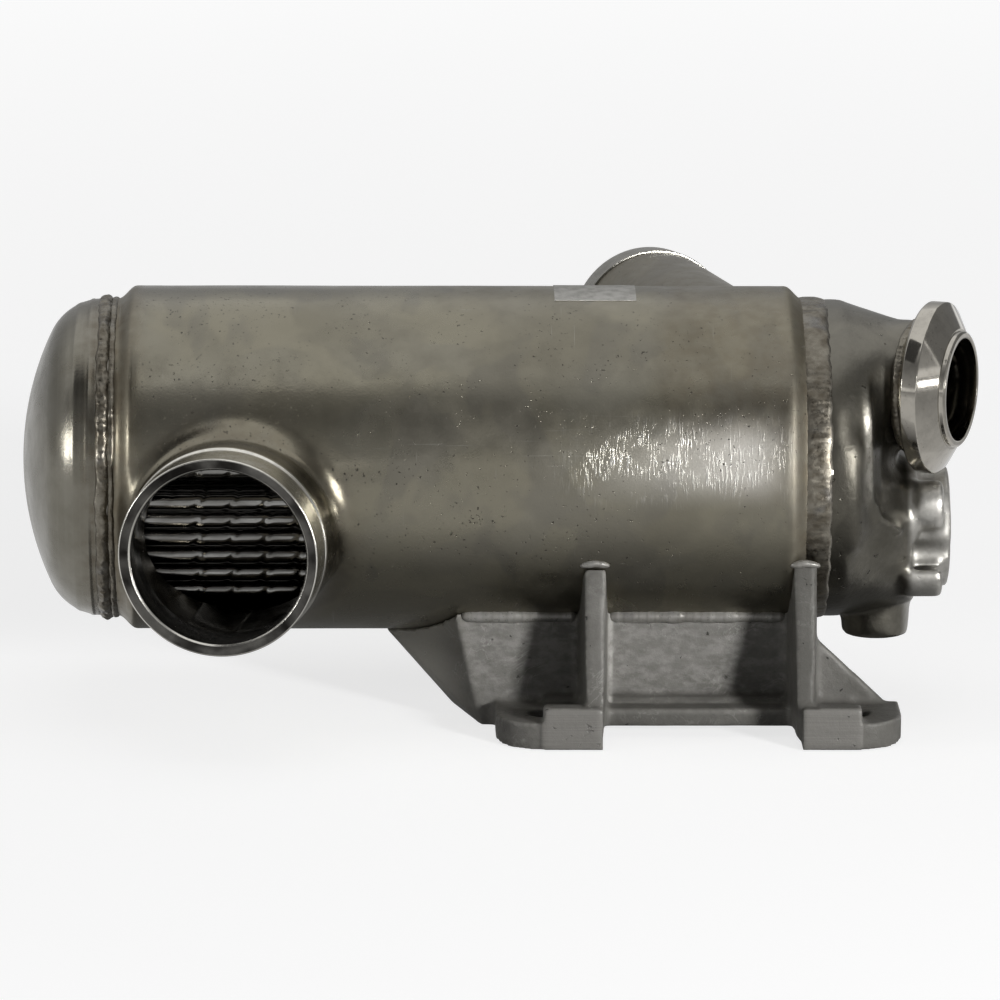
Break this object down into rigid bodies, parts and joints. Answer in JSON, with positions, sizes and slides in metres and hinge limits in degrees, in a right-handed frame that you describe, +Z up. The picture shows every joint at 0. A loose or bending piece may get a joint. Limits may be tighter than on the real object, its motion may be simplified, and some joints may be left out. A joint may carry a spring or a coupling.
{
  "type": "EGR cooler",
  "caption": "Two-pass shell-and-tube exhaust gas cooler with a dished return end, coolant ports, V-band gas inlet, bolted gas outlet and a cast foot bracket.",
  "frame": {"origin": "middle of the line between the two front foot holes, on the feet's underside", "axes": "+X along the shell towards the gas header, -Y towards the front with the coolant inlet, +Z up from the feet"},
  "size_m": [0.424, 0.2387, 0.1872],
  "materials": {
    "barrel": "dull rolled stainless with scuffs",
    "pressed_head": "pressed stainless, satin",
    "turned": "bright turned",
    "tube": "drawn, corrugated",
    "plate": "plain plate",
    "header_cast": "fine cast, machined flange",
    "bracket_cast": "sand cast, machined feet",
    "weld": "heat-tinted bead"
  },
  "bodies": {
    "root": {"shell": "barrel", "inlet_ring": "turned", "outlet_ring": "turned", "return_bonnet": "pressed_head", "return_tube_sheet": "plate", "header_tube_sheet": "plate", "upper_tubes": "tube", "lower_tubes": "tube", "baffle_1": "plate", "baffle_2": "plate", "baffle_3": "plate", "gas_header": "header_cast", "vband_flange": "turned", "bracket": "bracket_cast", "bonnet_weld": "weld", "shell_weld": "weld", "header_weld": "weld", "vband_weld": "weld", "bracket_welds": "weld"}
  },
  "joints": []
}
